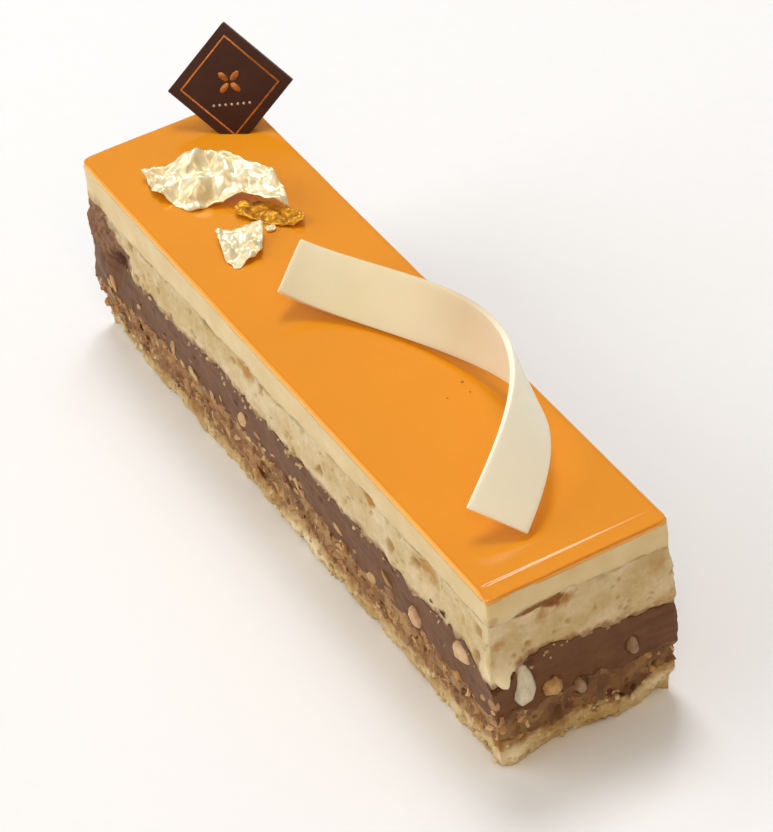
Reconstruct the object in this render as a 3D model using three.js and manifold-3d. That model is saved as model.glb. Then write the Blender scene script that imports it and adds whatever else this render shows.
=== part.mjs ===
// A bar of praline layer cake, cut straight on all four sides so that every layer shows.
// Millimetres: X runs along the bar, Y across it and Z up, from the middle of its underside.
// From below: sponge, praline crunch, praline cream, sponge, vanilla mousse and caramel glaze.
// A white chocolate curl, crumpled gold leaf and a dark chocolate plaque lie or stand on the glaze.
import * as THREE from 'three';
import { mergeVertices } from 'three/addons/utils/BufferGeometryUtils.js';
import Module from 'manifold-3d';

const wasm = await Module();
wasm.setup();

// ---------- driving dimensions ----------
const cakeLength = 122;
const cakeWidth = 28.5;
const cakeHeight = 32;
const restGap = 0.04; // under what lies on the glaze
const setGap = 0.3; // round what is set into a layer
const seamGap = 0.3; // between two layers

const columnStep = 2.95; // between the columns of points along the cut faces
const rimInset = 1.9; // the layers' upper and lower faces share one outline this far in

// The seams between the layers: height, rise along the bar, how ragged the cut shows them,
// and lifts, which are the places where a seam stands high or hangs low: middle, reach, height
const seams = {
  mousse: { z: 31.15, rise: 0.003, ragged: 0.1, cell: 9, seed: 5, lifts: [] },
  sponge: { z: 25.9, rise: 0.016, ragged: 0.3, cell: 6, seed: 11, lifts: [[61, -4, 9, 0.7]] },
  cream: {
    z: 17.7,
    rise: 0.006,
    ragged: 0.8,
    cell: 4.5,
    seed: 23,
    lifts: [
      [60.5, -14, 3, -2.6],
      [61, -7, 4.5, 1.1],
      [61, 11, 8, -1],
      [-14, -14, 8, 1.1],
      [-56, -14, 6, -1.3],
    ],
  },
  crunch: { z: 10.1, rise: -0.004, ragged: 0.75, cell: 3.6, seed: 31, lifts: [[61, -9, 5, -0.5]] },
  base: {
    z: 4.5,
    rise: 0.01,
    ragged: 0.7,
    cell: 4.2,
    seed: 47,
    lifts: [[7, -14, 6, 0.8], [-50, -14, 9, -0.7], [61, 6, 3.5, -1.7], [61, 12, 4, 1.4]],
  },
};

// Where the cut faces swell or sink: middle, reach along the bar, across it and up, and how far out
const swellings = [
  { at: [61, 14, 13], reach: [9, 7, 5.5], out: 0.4 },
  { at: [61, 14, 22], reach: [9, 7, 4], out: 0.1 },
  { at: [-57, -14, 11], reach: [8, 6, 4.5], out: 0.9 },
  { at: [-60, -14, 21], reach: [7, 6, 4], out: 0.5 },
  { at: [-52, -14, 17.2], reach: [3.6, 5, 2.6], out: -1.3 },
  { at: [-58, -14, 1.5], reach: [8, 6, 3], out: -0.7 },
  { at: [61, -14, 17], reach: [3.5, 4.5, 3.5], out: 0.7 },
  { at: [22, 14, 13], reach: [18, 5, 5], out: 0.5 },
  { at: [-61, 3, 13], reach: [5, 8, 5], out: 0.6 },
  { at: [-9, -14, 24.4], reach: [3.4, 5, 1.9], out: -0.9 },
  { at: [27.5, -14, 25.3], reach: [2.6, 5, 2], out: -0.8 },
  { at: [43, -14, 24], reach: [4, 5, 2.4], out: -1 },
  { at: [61, -3, 26], reach: [5, 5, 1.6], out: -0.7 },
  { at: [61, -3, 0.6], reach: [5, 4.5, 2], out: -1.3 },
  { at: [61, 12, 0.6], reach: [5, 2.8, 2], out: -1.3 },
];

// ---------- seeded variation ----------
function hash(a, b, c) {
  const wave = Math.sin(a * 127.1 + b * 311.7 + c * 74.7) * 43758.5453;
  return wave - Math.floor(wave);
}

function randomFrom(seed) {
  let draw = 0;
  return (low = 0, high = 1) => {
    draw += 1;
    return low + (high - low) * hash(draw, seed, 0.5);
  };
}

// Smooth noise from -1 to 1 with features one unit wide, over a plane and through space
function noise(x, y, seed) {
  const x0 = Math.floor(x);
  const y0 = Math.floor(y);
  const u = THREE.MathUtils.smoothstep(x - x0, 0, 1);
  const v = THREE.MathUtils.smoothstep(y - y0, 0, 1);
  const low = THREE.MathUtils.lerp(hash(x0, y0, seed), hash(x0 + 1, y0, seed), u);
  const high = THREE.MathUtils.lerp(hash(x0, y0 + 1, seed), hash(x0 + 1, y0 + 1, seed), u);
  return 2 * THREE.MathUtils.lerp(low, high, v) - 1;
}

function spaceNoise(x, y, z, seed) {
  const z0 = Math.floor(z);
  const w = THREE.MathUtils.smoothstep(z - z0, 0, 1);
  return THREE.MathUtils.lerp(noise(x, y, seed + 7.3 * z0), noise(x, y, seed + 7.3 * (z0 + 1)), w);
}

// ---------- solids ----------
function indexed(geometry) {
  geometry.deleteAttribute('normal');
  geometry.deleteAttribute('uv');
  return mergeVertices(geometry, 1e-5);
}

function toManifold(geometry) {
  const merged = indexed(geometry.clone());
  const vertProperties = new Float32Array(merged.attributes.position.array);
  const triVerts = new Uint32Array(merged.index.array);
  return new wasm.Manifold(new wasm.Mesh({ numProp: 3, vertProperties, triVerts }));
}

function toGeometry(solid) {
  const mesh = solid.getMesh();
  const geometry = new THREE.BufferGeometry();
  geometry.setAttribute('position', new THREE.BufferAttribute(new Float32Array(mesh.vertProperties), 3));
  geometry.setIndex(new THREE.BufferAttribute(new Uint32Array(mesh.triVerts), 1));
  return geometry;
}

function cut(geometry, ...cutters) {
  let solid = toManifold(geometry);
  for (const cutter of cutters) solid = solid.subtract(toManifold(cutter));
  return toGeometry(solid);
}

function fuse(geometry, ...pieces) {
  let solid = toManifold(geometry);
  for (const piece of pieces) solid = solid.add(toManifold(piece));
  return toGeometry(solid);
}

function geometryFrom(points, faces) {
  const geometry = new THREE.BufferGeometry();
  geometry.setAttribute('position', new THREE.Float32BufferAttribute(points.flat(), 3));
  geometry.setIndex(faces.flat());
  return geometry;
}

// Two triangles for the four corners of a patch, given in order round it
function patch(a, b, c, d) {
  return [a, b, c, a, c, d];
}

function named(name, geometry, color, roughness = 0.8, metalness = 0) {
  const material = new THREE.MeshStandardMaterial({ color, roughness, metalness });
  const mesh = new THREE.Mesh(geometry, material);
  mesh.name = name;
  return mesh;
}

// ---------- the cut faces ----------
// Columns of points round the bar: place on the outline and way out
function outlineColumns() {
  const halfX = cakeLength / 2;
  const halfY = cakeWidth / 2;
  const corners = [[-halfX, -halfY], [halfX, -halfY], [halfX, halfY], [-halfX, halfY]];
  const places = [];
  corners.forEach(([x, y], side) => {
    const [endX, endY] = corners[(side + 1) % 4];
    const span = Math.hypot(endX - x, endY - y);
    const steps = Math.round(span / columnStep);
    const out = [(endY - y) / span, (x - endX) / span];
    for (let i = 0; i < steps; i += 1) {
      const t = i / steps;
      const way = i === 0 ? [Math.sign(x), Math.sign(y)] : out;
      places.push({ x: x + (endX - x) * t, y: y + (endY - y) * t, way });
    }
  });
  return places;
}

const columns = outlineColumns();

function seamHeight(seam, { x, y }) {
  const { z, rise, ragged, cell, seed, lifts } = seam;
  const broadCell = 2.4 * cell;
  const broad = noise(x / broadCell, y / broadCell, seed);
  const fine = noise(x / cell, y / cell, seed + 1);
  let height = z + rise * x + ragged * (broad + fine) / 2;
  for (const [atX, atY, reach, lift] of lifts) {
    height += lift * Math.exp(-(((x - atX) / reach) ** 2) - ((y - atY) / reach) ** 2);
  }
  return height;
}

function swelling(x, y, z) {
  let out = 0;
  for (const { at, reach, out: most } of swellings) {
    const far = Math.hypot((x - at[0]) / reach[0], (y - at[1]) / reach[1], (z - at[2]) / reach[2]);
    out += most * Math.exp(-far * far);
  }
  return out;
}

const knifeWave = { cell: 12, depth: 0.22, seed: 3 }; // the unevenness of the cut itself

// How far a layer's cut face stands out at a height; crumb is its grain
function cutRelief({ x, y }, z, crumb) {
  const grain = spaceNoise(x / crumb.cell, y / crumb.cell, z / crumb.cell, crumb.seed);
  const wave = spaceNoise(x / knifeWave.cell, y / knifeWave.cell, z / knifeWave.cell, knifeWave.seed);
  return crumb.depth * grain + knifeWave.depth * wave + swelling(x, y, z) - crumb.sunk;
}

// A closed layer from its rows of heights and outward steps, with flat-triangulated ends
function layerSolid(rows) {
  const count = columns.length;
  const ring = (place) => columns.map((column, i) => place(column, i));
  const inner = (heights) => ring(({ x, y, way }, i) => [
    x - rimInset * way[0],
    y - rimInset * way[1],
    heights[i].z,
  ]);
  const outer = (heights) => ring(({ x, y, way }, i) => [
    x + heights[i].out * way[0],
    y + heights[i].out * way[1],
    heights[i].z,
  ]);
  const rings = [inner(rows[0]), ...rows.map(outer), inner(rows.at(-1))];
  const faces = [];
  for (let r = 0; r + 1 < rings.length; r += 1) {
    for (let i = 0; i < count; i += 1) {
      const next = (i + 1) % count;
      const round = [r * count + i, r * count + next, (r + 1) * count + next, (r + 1) * count + i];
      // the top band is split the other way, to match the underside of the layer above
      if (r + 2 === rings.length) round.push(round.shift());
      faces.push(patch(...round));
    }
  }
  const flat = rings[0].map(([x, y]) => new THREE.Vector2(x, y));
  const last = (rings.length - 1) * count;
  for (const [a, b, c] of THREE.ShapeUtils.triangulateShape(flat, [])) {
    faces.push([a, c, b]);
    faces.push([last + a, last + b, last + c]);
  }
  return geometryFrom(rings.flat(), faces);
}

// Both layers at a seam have the same outline there, so that they fit all the way out
function seamRow(seam, gap) {
  return columns.map((column) => {
    const z = seamHeight(seam, column);
    return { z: z + gap, out: Math.max(cutRelief(column, z, crumbs.seam), -rimInset / 2) };
  });
}

function groundRow(crumb) {
  const innermost = -0.9 * rimInset;
  return columns.map((column) => ({
    z: 0,
    out: Math.max(cutRelief(column, 0, crumb) - crumb.undercut, innermost),
  }));
}

// Rows of a layer's cut face, from one seam or the ground up to the next seam
function layerRows(lowSeam, highSeam, steps, crumb) {
  const lowest = lowSeam ? seamRow(lowSeam, seamGap / 2) : groundRow(crumb);
  const highest = seamRow(highSeam, -seamGap / 2);
  const rows = [lowest];
  for (let r = 1; r < steps; r += 1) {
    rows.push(columns.map((column, i) => {
      const z = THREE.MathUtils.lerp(lowest[i].z, highest[i].z, r / steps);
      return { z, out: cutRelief(column, z, crumb) };
    }));
  }
  return [...rows, highest];
}

// ---------- layers ----------
// The grain of each cut face: its size, its depth, and how far the face lies back
const crumbs = {
  seam: { cell: 4, depth: 0.25, sunk: 0.15, seed: 59 },
  mousse: { cell: 6, depth: 0.08, sunk: 0.05, seed: 61 },
  sponge: { cell: 2.3, depth: 0.42, sunk: 0.05, seed: 67 },
  cream: { cell: 5, depth: 0.22, sunk: 0.15, seed: 71 },
  crunch: { cell: 2.6, depth: 0.5, sunk: 0.2, seed: 79 },
  base: { cell: 2.8, depth: 0.42, sunk: 0.1, seed: 83, undercut: 0.5 },
};

const glaze = {
  softEdge: [[0.45, 0.1], [0.8, -0.14], [1, -0.75]], // share of its thickness, and way out
  dip: 0.5, // at the far corner
  dipReach: 3,
  ripple: 0.06,
  rippleCell: 7,
  seed: 97,
};

// The glaze: a poured sheet with a soft upper edge that dips a little at the far corner
function glazeSolid() {
  const { softEdge, dip, dipReach, ripple, rippleCell, seed } = glaze;
  const lowest = seamRow(seams.mousse, seamGap / 2);
  const rows = softEdge.map(([up, out]) => columns.map(({ x, y }, i) => {
    const toCorner = Math.hypot(x + cakeLength / 2, y + cakeWidth / 2);
    const drop = dip * Math.exp(-toCorner / dipReach) * up;
    const rippled = out + ripple * spaceNoise(x / rippleCell, y / rippleCell, up, seed);
    return { z: THREE.MathUtils.lerp(lowest[i].z, cakeHeight, up) - drop, out: rippled };
  }));
  return layerSolid([lowest, ...rows]);
}

// ---------- nut pieces set in the cut faces ----------
const almondColor = 0xd8cfb4;
const hazelnutColor = 0xb98a55;

const nutPieces = [
  { name: 'almond_chunk', at: [59.9, -9.7, 14.5], size: [2.2, 2.1, 3.5], taper: 0.42, turn: 3, seed: 3 },
  { name: 'almond_sliver_1', at: [60, -0.9, 9.2], size: [1.6, 0.9, 1.2], taper: 0.7, turn: 8, seed: 17 },
  { name: 'almond_sliver_2', at: [38.8, -13.6, 12], size: [1.3, 1.5, 1.8], taper: 0.5, turn: 25, seed: 19 },
  { name: 'almond_sliver_3', at: [52.4, -13.6, 15.9], size: [1.9, 1.4, 1.1], taper: 0.8, turn: 0, seed: 29 },
  { name: 'hazelnut_piece_1', at: [59.8, -5.4, 11.5], size: [1.8, 1.6, 1.2], taper: 0.8, turn: 20, seed: 7 },
  { name: 'hazelnut_piece_2', at: [60.3, 7.6, 12.3], size: [1.5, 0.8, 1.3], taper: 0.7, turn: -9, seed: 13 },
];

const nutDents = 0.08; // share of its radius by which a corner stands in or out
const nutBluntness = 0.72; // share of its half size where its sides turn flat

// A broken nut: a blunt-cornered ball of few faces, narrower towards the top, in half sizes
function nutSolid({ at, size, taper, turn, seed }, grow = 0) {
  const draw = randomFrom(seed);
  const geometry = indexed(new THREE.IcosahedronGeometry(1, 1));
  const points = geometry.attributes.position;
  for (let i = 0; i < points.count; i += 1) {
    const point = new THREE.Vector3().fromBufferAttribute(points, i);
    const flattest = Math.max(Math.abs(point.y), Math.abs(point.z), nutBluntness);
    point.multiplyScalar((1 + draw(-nutDents, nutDents)) / flattest);
    const narrow = THREE.MathUtils.lerp(1, taper, THREE.MathUtils.clamp((point.z + 1) / 2, 0, 1));
    point.x *= (size[0] + grow) * narrow;
    point.y *= (size[1] + grow) * narrow;
    point.z *= size[2] + grow;
    points.setXYZ(i, point.x, point.y, point.z);
  }
  geometry.rotateX(THREE.MathUtils.degToRad(turn));
  geometry.translate(...at);
  return geometry;
}

// ---------- bits that stand out of the crunch ----------
const crunchBit = {
  spacing: 1.75, // columns
  radius: [0.8, 1.5],
  squash: [0.45, 0.85], // of its height
  spread: [0.7, 1.2], // of its other sizes
  tilt: 0.5,
  buried: 0.35, // share of its radius by which its middle lies behind the cut face
  margin: 0.9, // to the seams and the nut pieces
  seed: 131,
};

// Broken nuts and wafer flakes, spread evenly round the cut faces
function crunchBits(lowSeam, highSeam, crumb) {
  const { spacing, radius: sizes, squash, spread, tilt, buried, margin, seed } = crunchBit;
  const draw = randomFrom(seed);
  const bits = [];
  for (let place = 0; place < columns.length; place += spacing) {
    const column = columns[Math.min(Math.floor(place + draw(0, spacing)), columns.length - 1)];
    const radius = draw(...sizes);
    const reach = squash[1] * radius + margin;
    const low = seamHeight(lowSeam, column) + reach;
    const high = seamHeight(highSeam, column) - reach;
    const z = draw(Math.min(low, high), high);
    const out = cutRelief(column, z, crumb) - buried * radius;
    const bit = new THREE.IcosahedronGeometry(radius, 0);
    bit.scale(draw(...spread), draw(...spread), draw(...squash));
    bit.rotateX(draw(-tilt, tilt));
    bit.rotateY(draw(-tilt, tilt));
    bit.rotateZ(draw(0, Math.PI));
    bit.translate(column.x + out * column.way[0], column.y + out * column.way[1], z);
    const middle = new THREE.Vector3(column.x, column.y, z);
    const atCorner = column.way[0] !== 0 && column.way[1] !== 0;
    const clear = nutPieces.every(({ at, size }) => (
      middle.distanceTo(new THREE.Vector3(...at)) > Math.max(...size) + radius + margin
    ));
    if (!atCorner && clear) bits.push(bit);
  }
  return bits;
}

// ---------- dark chocolate plaque ----------
// A square plate that stands on one corner, sunk in the glaze, and leans back from the bar's front
const plaque = {
  side: 14,
  thickness: 1.3,
  foot: [-53.5, 8.45], // middle of the line where it enters the glaze
  heading: 54, // of that line, in plan
  lean: 28,
  roll: 4.6, // its upper corner tips to the left
  sunk: 2.7, // of its lowest corner below the glaze
};

function plaqueSolid(grow = 0) {
  const { side, thickness, foot, heading, lean, roll, sunk } = plaque;
  const half = side / 2 + grow;
  const outline = new THREE.Shape();
  outline.moveTo(-half, -half);
  outline.lineTo(half, -half);
  outline.lineTo(half, half);
  outline.lineTo(-half, half);
  outline.closePath();
  const geometry = new THREE.ExtrudeGeometry(outline, { depth: thickness + 2 * grow, bevelEnabled: false });
  geometry.translate(0, 0, -thickness / 2 - grow);
  geometry.rotateZ(Math.PI / 4 + THREE.MathUtils.degToRad(roll));
  geometry.translate(0, side * Math.SQRT1_2 - sunk, 0);
  geometry.rotateX(Math.PI / 2 - THREE.MathUtils.degToRad(lean));
  geometry.rotateZ(THREE.MathUtils.degToRad(heading));
  geometry.translate(foot[0], foot[1], cakeHeight);
  return geometry;
}

// ---------- white chocolate curl ----------
// A straight ribbon that twists at a steady rate and bends over its flat side
const curl = {
  length: 73.4,
  width: 8.9,
  thickness: 0.9,
  start: [-8.53, -7.25], // of its lower edge
  heading: 50.5,
  pitch: -32.3,
  lean: 62.7, // of its width from upright, to the left of its heading
  twist: [0.031, 0.007, -0.002], // radians a millimetre, by powers of the way along from -1 to 1
  bend: [-0.022, -0.03, -0.038, 0.034],
  cup: 0.25, // hollow across its width
  steps: 38,
  strips: 3,
};

function polynomial(factors, t) {
  return factors.reduce((sum, factor, power) => sum + factor * t ** power, 0);
}

// Frames along the ribbon's lower edge: point, and the way along, across and out of its face
function curlFrames() {
  const { length, start, heading, pitch, lean, twist, bend, steps } = curl;
  const up = new THREE.Vector3(0, 0, 1);
  const [h, p, l] = [heading, pitch, lean].map(THREE.MathUtils.degToRad);
  const along = new THREE.Vector3(Math.cos(p) * Math.cos(h), Math.cos(p) * Math.sin(h), Math.sin(p));
  const left = new THREE.Vector3().crossVectors(up, along).normalize();
  const across = new THREE.Vector3().crossVectors(along, left).multiplyScalar(Math.cos(l));
  across.addScaledVector(left, Math.sin(l));
  const point = new THREE.Vector3(start[0], start[1], cakeHeight);
  const step = length / steps;
  const frames = [];
  for (let i = 0; i <= steps; i += 1) {
    const out = new THREE.Vector3().crossVectors(along, across);
    frames.push({ point: point.clone(), across: across.clone(), out });
    const t = ((i + 0.5) / steps) * 2 - 1;
    const turn = along.clone().multiplyScalar(polynomial(twist, t));
    turn.addScaledVector(across, polynomial(bend, t));
    const angle = turn.length() * step;
    const before = along.clone();
    turn.normalize();
    along.applyAxisAngle(turn, angle);
    across.applyAxisAngle(turn, angle);
    point.addScaledVector(before.add(along), step / 2);
  }
  return frames;
}

// A closed thin sheet from a grid of points and the way out at each, both faces alike
function sheetSolid(grid, thickness) {
  const rows = grid.length;
  const across = grid[0].length;
  const face = (side) => grid.flat().map(({ point, out }) => (
    point.clone().addScaledVector(out, side * thickness / 2).toArray()
  ));
  const points = [...face(1), ...face(-1)];
  const under = rows * across;
  const faces = [];
  for (let r = 0; r + 1 < rows; r += 1) {
    for (let c = 0; c + 1 < across; c += 1) {
      const a = r * across + c;
      const b = a + across;
      faces.push(patch(a, b, b + 1, a + 1));
      faces.push([under + a, under + b + 1, under + b, under + a, under + a + 1, under + b + 1]);
    }
  }
  const rim = [];
  for (let r = 0; r < rows - 1; r += 1) rim.push(r * across);
  for (let c = 0; c < across - 1; c += 1) rim.push((rows - 1) * across + c);
  for (let r = rows - 1; r > 0; r -= 1) rim.push(r * across + across - 1);
  for (let c = across - 1; c > 0; c -= 1) rim.push(c);
  rim.forEach((a, i) => {
    const b = rim[(i + 1) % rim.length];
    faces.push(patch(a, under + a, under + b, b));
  });
  return geometryFrom(points, faces);
}

function restOnGlaze(geometry) {
  geometry.computeBoundingBox();
  geometry.translate(0, 0, cakeHeight + restGap - geometry.boundingBox.min.z);
  return geometry;
}

function curlSolid() {
  const grid = curlFrames().map(({ point, across, out }) => {
    const row = [];
    for (let c = 0; c <= curl.strips; c += 1) {
      const t = c / curl.strips;
      const hollow = curl.cup * 4 * t * (1 - t);
      const place = point.clone().addScaledVector(across, curl.width * t).addScaledVector(out, -hollow);
      row.push({ point: place, out });
    }
    return row;
  });
  return restOnGlaze(sheetSolid(grid, curl.thickness));
}

// ---------- gold leaf ----------
// Each leaf hangs between two torn edges, given as points above the glaze, and is crumpled between
const leafThickness = 0.26;

const leaves = [
  {
    name: 'gold_leaf_large',
    upper: [[-50.9, -8.3, 1.4], [-49.6, -6, 3], [-47, -2.8, 4.4], [-45.6, -0.2, 5.5], [-43.6, 1.7, 5.2],
      [-39.1, 4.2, 5], [-35.2, 6.7, 4.2], [-31.8, 6.3, 3.6]],
    lower: [[-48.7, -8.9, 0.9], [-45.4, -9.4, 0.5], [-41.8, -7.8, 0.3], [-38.5, -6.6, 0.3], [-37.1, -2.4, 1],
      [-35.8, -0.2, 1.8], [-34.6, 1.7, 2.2], [-29, 5.5, 1.6]],
    steps: [18, 8],
    crumple: 0.85,
    cell: 2.3,
    seed: 101,
    color: 0xf3e3b0,
  },
  {
    name: 'gold_leaf_amber',
    upper: [[-34.2, -1.2, 0.9], [-35.6, 0.5, 0.9], [-34.4, 2.7, 0.5], [-32, 4.4, 0.5], [-29, 5.9, 0.7],
      [-26.4, 6.6, 1.3]],
    lower: [[-33, -1.4, 0.6], [-31.4, -0.4, 0.2], [-29.4, 0.9, 0.1], [-27.1, 2.8, 0.2], [-25.4, 4.5, 0.4],
      [-25.3, 6, 1]],
    steps: [12, 5],
    crumple: 0.3,
    cell: 1.4,
    seed: 113,
    color: 0xc9922e,
  },
  {
    name: 'gold_leaf_small',
    upper: [[-30.5, -6.3, 1.3], [-29.2, -2.8, 1.5], [-26.9, 0.1, 2.2]],
    lower: [[-24.6, -8, 0.4], [-21.6, -7.6, 0.2], [-22.3, -2.9, 1]],
    steps: [9, 7],
    crumple: 0.4,
    cell: 1.9,
    seed: 127,
    color: 0xf5e8bd,
  },
];

// Creases: the folds of a crushed sheet are sharp, so the noise is folded too, at two sizes
function creases(u, v, seed) {
  const finer = 2.3;
  const finerShare = 0.35;
  const large = 1 - 2 * Math.abs(noise(u, v, seed));
  const small = 1 - 2 * Math.abs(noise(u * finer, v * finer, seed + 1));
  return THREE.MathUtils.lerp(large, small, finerShare);
}

function pointOnPath(path, t) {
  const place = t * (path.length - 1);
  const i = Math.min(Math.floor(place), path.length - 2);
  return new THREE.Vector3(...path[i]).lerp(new THREE.Vector3(...path[i + 1]), place - i);
}

function leafSolid({ upper, lower, steps, crumple, cell, seed }) {
  const across = pointOnPath(upper, 0.5).sub(pointOnPath(lower, 0.5));
  const along = pointOnPath(upper, 1).sub(pointOnPath(upper, 0));
  const out = new THREE.Vector3().crossVectors(along, across).normalize();
  out.multiplyScalar(Math.sign(out.z));
  const grid = [];
  for (let r = 0; r <= steps[1]; r += 1) {
    const row = [];
    for (let c = 0; c <= steps[0]; c += 1) {
      const t = c / steps[0];
      const point = pointOnPath(upper, t).lerp(pointOnPath(lower, t), r / steps[1]);
      const fold = crumple * creases(point.x / cell, point.y / cell, seed);
      point.addScaledVector(out, fold);
      row.push({ point, out });
    }
    grid.push(row);
  }
  return restOnGlaze(sheetSolid(grid, leafThickness));
}

// ---------- the cake ----------
const plaqueSlot = plaqueSolid(setGap);
const nutPockets = nutPieces.map((piece) => nutSolid(piece, setGap));

const baseSponge = layerSolid(layerRows(null, seams.base, 3, crumbs.base));
const pralineCrunch = layerSolid(layerRows(seams.base, seams.crunch, 4, crumbs.crunch));
const pralineCream = layerSolid(layerRows(seams.crunch, seams.cream, 4, crumbs.cream));
const upperSponge = layerSolid(layerRows(seams.cream, seams.sponge, 5, crumbs.sponge));
const vanillaMousse = layerSolid(layerRows(seams.sponge, seams.mousse, 2, crumbs.mousse));

const bitsInCrunch = crunchBits(seams.base, seams.crunch, crumbs.crunch);

const cake = new THREE.Group();
cake.add(named('base_sponge', baseSponge, 0xdccf98, 0.95));
cake.add(named('praline_crunch', cut(fuse(pralineCrunch, ...bitsInCrunch), ...nutPockets), 0xb07a45, 0.8));
cake.add(named('praline_cream', cut(pralineCream, ...nutPockets), 0x7a5440, 0.6));
cake.add(named('upper_sponge', cut(upperSponge, ...nutPockets), 0xdacb96, 0.95));
cake.add(named('vanilla_mousse', cut(vanillaMousse, plaqueSlot), 0xe8d8a6, 0.6));
cake.add(named('caramel_glaze', cut(glazeSolid(), plaqueSlot), 0xe6933a, 0.15));
for (const piece of nutPieces) {
  const color = piece.name.startsWith('almond') ? almondColor : hazelnutColor;
  cake.add(named(piece.name, nutSolid(piece), color, 0.7));
}
cake.add(named('dark_chocolate_plaque', plaqueSolid(), 0x3a2018, 0.4));
cake.add(named('white_chocolate_curl', curlSolid(), 0xf3e9cc, 0.4));
for (const leaf of leaves) cake.add(named(leaf.name, leafSolid(leaf), leaf.color, 0.3, 1));

export default cake;
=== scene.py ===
import math
import random

import bmesh
import bpy
from mathutils import Euler, Matrix, Vector, noise
from mathutils.bvhtree import BVHTree


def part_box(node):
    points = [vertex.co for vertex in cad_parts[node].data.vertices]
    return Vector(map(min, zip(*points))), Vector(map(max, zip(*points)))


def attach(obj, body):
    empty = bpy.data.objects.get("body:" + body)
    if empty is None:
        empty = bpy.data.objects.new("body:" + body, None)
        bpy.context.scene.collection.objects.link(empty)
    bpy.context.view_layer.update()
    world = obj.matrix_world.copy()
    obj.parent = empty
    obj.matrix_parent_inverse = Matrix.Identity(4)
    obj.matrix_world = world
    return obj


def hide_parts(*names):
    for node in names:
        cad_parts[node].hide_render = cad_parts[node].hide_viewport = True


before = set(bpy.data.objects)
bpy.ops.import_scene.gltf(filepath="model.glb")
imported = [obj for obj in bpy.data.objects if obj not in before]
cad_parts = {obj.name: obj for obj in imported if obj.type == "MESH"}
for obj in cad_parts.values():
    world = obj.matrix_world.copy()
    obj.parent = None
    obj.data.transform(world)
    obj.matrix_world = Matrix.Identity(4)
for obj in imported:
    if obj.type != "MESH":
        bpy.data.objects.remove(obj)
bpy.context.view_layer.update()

mm = 0.001
coarse = 1
print("frame loaded:", len(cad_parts), "solids")


# small helpers

def hexColor(text):
    parts = [int(text[i:i + 2], 16) / 255 for i in (1, 3, 5)]
    return [p / 12.92 if p <= 0.04045 else ((p + 0.055) / 1.055) ** 2.4 for p in parts] + [1]


def addNode(tree, kind, inputs=None, stops=(), **settings):
    node = tree.nodes.new("ShaderNode" + kind)
    for name, value in settings.items():
        setattr(node, name, value)
    for i, (place, shade) in enumerate(stops):
        ramp = node.color_ramp.elements
        stop = ramp[i] if i < 2 else ramp.new(place)
        stop.position = place
        stop.color = hexColor(shade) if isinstance(shade, str) else [shade] * 3 + [1]
    for name, value in (inputs or {}).items():
        if isinstance(value, bpy.types.NodeSocket):
            tree.links.new(value, node.inputs[name])
        else:
            node.inputs[name].default_value = value
    return node


def startMaterial(name, finish):
    material = bpy.data.materials.new(name)
    material.use_nodes = True
    tree = material.node_tree
    shader = tree.nodes["Principled BSDF"]
    for socket, value in finish.items():
        shader.inputs[socket].default_value = value
    place = addNode(tree, "TexCoord").outputs["Object"]
    return material, tree, shader, place


def perMm(size):
    return 1 / (size * mm)  # noise scale for features of that size


def clouded(tree, place, size, stops, **sockets):
    # tones that drift from one to the next in patches of about that size, in mm
    cloud = addNode(tree, "TexNoise", {"Vector": place, "Scale": perMm(size), **sockets})
    return addNode(tree, "ValToRGB", {"Fac": cloud.outputs["Fac"]}, stops=stops).outputs["Color"]


def alongBar(tree, place, start, end, most=1):
    # from 0 at one place along the bar to the most at another, both in mm
    split = addNode(tree, "SeparateXYZ", {"Vector": place})
    share = addNode(tree, "MapRange", {
        "Value": split.outputs["X"], "From Min": start * mm, "From Max": end * mm, "To Max": most})
    return share.outputs["Result"]


def markedOver(tree, mark, under, shade):
    # a mark that the mesh's points carry, in its own colour over what lies under it
    kept = addNode(tree, "Attribute", attribute_name=mark)
    return addNode(tree, "Mix", {0: kept.outputs["Fac"], 6: under, 7: shade}, data_type="RGBA").outputs[2]


def finishMaterial(tree, shader, place, color, relief, under=None, **sockets):
    # the colour, and a fine relief over any coarser one: its size in mm, its strength and its depth in mm
    size, strength, depth = relief
    fine = addNode(tree, "TexNoise", {"Vector": place, "Scale": perMm(size), **sockets})
    bump = addNode(tree, "Bump", {
        "Strength": strength, "Distance": depth * mm, "Height": fine.outputs["Fac"]})
    if under:
        tree.links.new(under.outputs["Normal"], bump.inputs["Normal"])
    tree.links.new(bump.outputs["Normal"], shader.inputs["Normal"])
    tree.links.new(color, shader.inputs["Base Color"])


def between(a, b, t):
    return a + (b - a) * t


def clamp(value, low, high):
    return max(low, min(high, value))


def smoothStep(value, low, high):
    t = clamp((value - low) / (high - low), 0, 1)
    return t * t * (3 - 2 * t)


def nodeCopy(name):
    # the solid's own mesh is loose triangles, so its copy is merged
    bm = bmesh.new()
    bm.from_mesh(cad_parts[name].data)
    bmesh.ops.remove_doubles(bm, verts=bm.verts, dist=0.0005 * mm)
    return bm


def addObject(name, data):
    made = bpy.data.objects.new(name, data)
    bpy.context.scene.collection.objects.link(made)
    return made


def addPiece(name, bm, material, replaced=(), smooth=True):
    mesh = bpy.data.meshes.new(name)
    bm.to_mesh(mesh)
    bm.free()
    mesh.materials.append(material)
    mesh.polygons.foreach_set("use_smooth", [smooth] * len(mesh.polygons))
    piece = addObject(name, mesh)
    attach(piece, "root")
    if replaced:
        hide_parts(*replaced)
    print(name, len(mesh.polygons), "faces")
    return piece


# camera: the photo's viewpoint, fitted to the corners of the bar

camera = {
    "at": (358.17, -168.56, 343.4),  # mm
    "turn": 64.31,
    "down": 39.73,
    "roll": -6.39,
    "lens": 151.13,
    "sensor": 36,
}

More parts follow.
